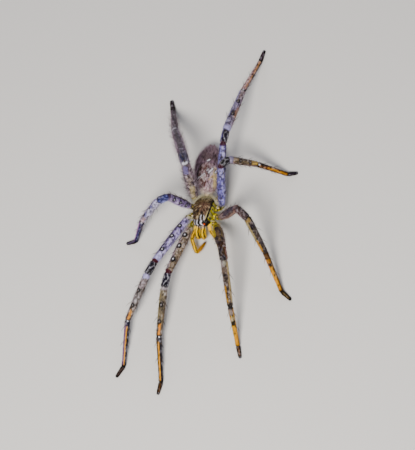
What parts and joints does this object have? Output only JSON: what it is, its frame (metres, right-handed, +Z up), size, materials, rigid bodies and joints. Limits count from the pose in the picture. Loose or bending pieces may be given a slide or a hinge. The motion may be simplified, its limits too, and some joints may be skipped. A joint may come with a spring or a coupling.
{
  "type": "huntsman spider",
  "caption": "Life-size still model of a huntsman spider, standing with its long legs spread on the floor.",
  "frame": {"origin": "on the floor under the middle of the whole animal's box, legs included", "axes": "+Z up from the floor, -Y the way the head looks, +X the spider's left"},
  "size_m": [0.0572, 0.1222, 0.026],
  "materials": {
    "carapace": "satin, short fine hair over brown cuticle",
    "abdomen": "matte, dense short hair, mottled grey and pinkish brown",
    "eyes": "wet gloss, near black",
    "chelicerae": "satin, yellow with dark purple bands",
    "palps": "satin, bright yellow with dark marks",
    "femora": "matte, lilac grey and beige speckle with black rings",
    "patellae": "satin, dark purple brown with pale lines",
    "tibiae": "matte, olive beige with black rings",
    "metatarsi": "matte, golden orange with black dots",
    "tarsi": "matte, orange with a dark tip"
  },
  "bodies": {
    "root": {"cephalothorax": "carapace", "abdomen": "abdomen", "chelicera_left": "chelicerae", "eye_ame_left": "eyes", "eye_ale_left": "eyes", "eye_pme_left": "eyes", "eye_ple_left": "eyes", "palp_left_femur": "palps", "palp_left_tibia": "palps", "palp_left_tarsus": "palps", "chelicera_right": "chelicerae", "eye_ame_right": "eyes", "eye_ale_right": "eyes", "eye_pme_right": "eyes", "eye_ple_right": "eyes", "palp_right_femur": "palps", "palp_right_tibia": "palps", "palp_right_tarsus": "palps", "leg_left_1_femur": "femora", "leg_left_1_patella": "patellae", "leg_left_1_tibia": "tibiae", "leg_left_1_metatarsus": "metatarsi", "leg_left_1_tarsus": "tarsi", "leg_left_2_femur": "femora", "leg_left_2_patella": "patellae", "leg_left_2_tibia": "tibiae", "leg_left_2_metatarsus": "metatarsi", "leg_left_2_tarsus": "tarsi", "leg_left_3_femur": "femora", "leg_left_3_patella": "patellae", "leg_left_3_tibia": "tibiae", "leg_left_3_metatarsus": "metatarsi", "leg_left_3_tarsus": "tarsi", "leg_left_4_femur": "femora", "leg_left_4_patella": "patellae", "leg_left_4_tibia": "tibiae", "leg_left_4_metatarsus": "metatarsi", "leg_left_4_tarsus": "tarsi", "leg_right_1_femur": "femora", "leg_right_1_patella": "patellae", "leg_right_1_tibia": "tibiae", "leg_right_1_metatarsus": "metatarsi", "leg_right_1_tarsus": "tarsi", "leg_right_2_femur": "femora", "leg_right_2_patella": "patellae", "leg_right_2_tibia": "tibiae", "leg_right_2_metatarsus": "metatarsi", "leg_right_2_tarsus": "tarsi", "leg_right_3_femur": "femora", "leg_right_3_patella": "patellae", "leg_right_3_tibia": "tibiae", "leg_right_3_metatarsus": "metatarsi", "leg_right_3_tarsus": "tarsi", "leg_right_4_femur": "femora", "leg_right_4_patella": "patellae", "leg_right_4_tibia": "tibiae", "leg_right_4_metatarsus": "metatarsi", "leg_right_4_tarsus": "tarsi"}
  },
  "joints": []
}
